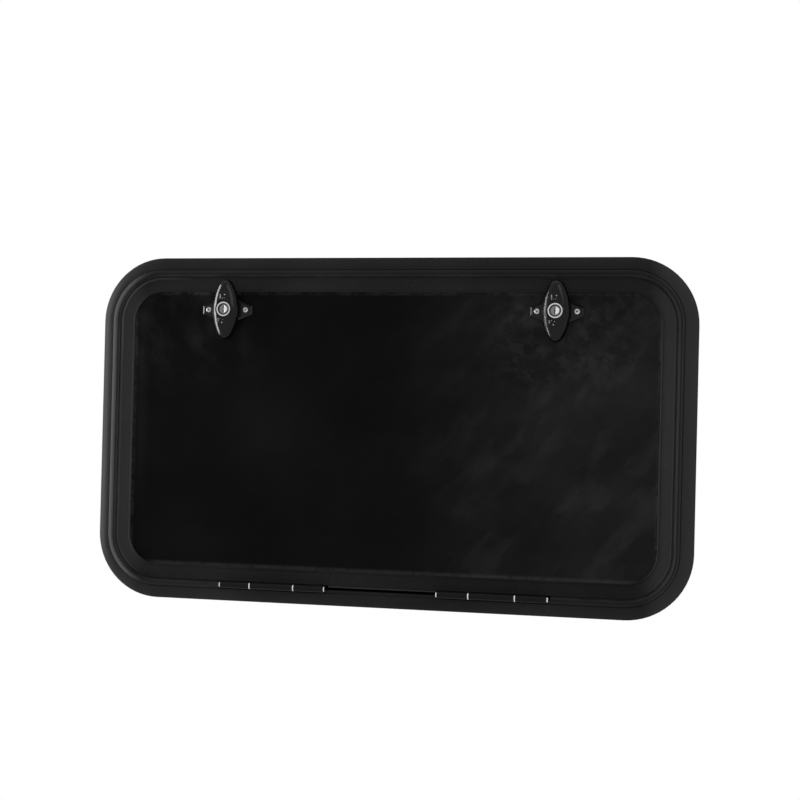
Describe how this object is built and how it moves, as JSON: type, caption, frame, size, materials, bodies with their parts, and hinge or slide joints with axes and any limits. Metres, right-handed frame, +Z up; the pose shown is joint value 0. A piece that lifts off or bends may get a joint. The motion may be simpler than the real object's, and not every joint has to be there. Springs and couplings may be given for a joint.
{
  "type": "rv luggage hatch door",
  "caption": "Drop-down luggage hatch for a camper: a bent aluminium frame with a framed black panel door on knuckle hinges, closed by turn locks with key cylinders",
  "frame": {"origin": "the middle of the hatch in the plane of the wall skin, on the back of the frame's flange", "axes": "X runs to the right as seen from outside, Y runs into the vehicle, Z runs up; the outside faces minus Y"},
  "size_m": [0.7, 0.0596, 0.4],
  "materials": {
    "frame_coat": "satin",
    "panel_coat": "satin",
    "inner_coat": "satin",
    "foam": "matte",
    "seal_rubber": "matte",
    "hinge_coat": "satin",
    "bright_steel": "satin",
    "plated_steel": "satin",
    "chrome": "polished",
    "lock_plastic": "satin",
    "handle_plastic": "satin"
  },
  "bodies": {
    "frame": {"outer_frame": "frame_coat", "frame_seal": "seal_rubber", "gap_strip": "seal_rubber", "left_hinge_frame_leaf": "hinge_coat", "left_hinge_pin": "bright_steel", "left_hinge_left_washer": "bright_steel", "left_hinge_right_washer": "bright_steel", "right_hinge_frame_leaf": "hinge_coat", "right_hinge_pin": "bright_steel", "right_hinge_left_washer": "bright_steel", "right_hinge_right_washer": "bright_steel"},
    "door": {"door_frame": "frame_coat", "outer_skin": "panel_coat", "foam_core": "foam", "inner_skin": "inner_coat", "left_hinge_door_leaf": "hinge_coat", "left_lock_body": "lock_plastic", "left_lock_nut": "plated_steel", "right_hinge_door_leaf": "hinge_coat", "right_lock_body": "lock_plastic", "right_lock_nut": "plated_steel"},
    "left_turn": {"left_handle": "handle_plastic", "left_cylinder_ring": "chrome", "left_lock_spindle": "plated_steel", "left_lock_cam": "plated_steel", "left_cam_nut": "plated_steel"},
    "left_key": {"left_key_plug": "chrome"},
    "right_turn": {"right_handle": "handle_plastic", "right_cylinder_ring": "chrome", "right_lock_spindle": "plated_steel", "right_lock_cam": "plated_steel", "right_cam_nut": "plated_steel"},
    "right_key": {"right_key_plug": "chrome"}
  },
  "joints": [
    {"name": "door_swing", "type": "hinge", "parent": "frame", "child": "door", "pos_m": [0, -0.0135, -0.1804], "axis": [1, 0, 0], "range_deg": [0, 175]},
    {"name": "left_lock_turn", "type": "hinge", "parent": "door", "child": "left_turn", "pos_m": [-0.194, 0, 0.139], "axis": [0, -1, 0], "range_deg": [0, 90]},
    {"name": "left_key_turn", "type": "hinge", "parent": "left_turn", "child": "left_key", "pos_m": [-0.194, 0, 0.139], "axis": [0, -1, 0], "range_deg": [0, 90]},
    {"name": "right_lock_turn", "type": "hinge", "parent": "door", "child": "right_turn", "pos_m": [0.194, 0, 0.139], "axis": [0, -1, 0], "range_deg": [0, 90]},
    {"name": "right_key_turn", "type": "hinge", "parent": "right_turn", "child": "right_key", "pos_m": [0.194, 0, 0.139], "axis": [0, -1, 0], "range_deg": [0, 90]}
  ]
}
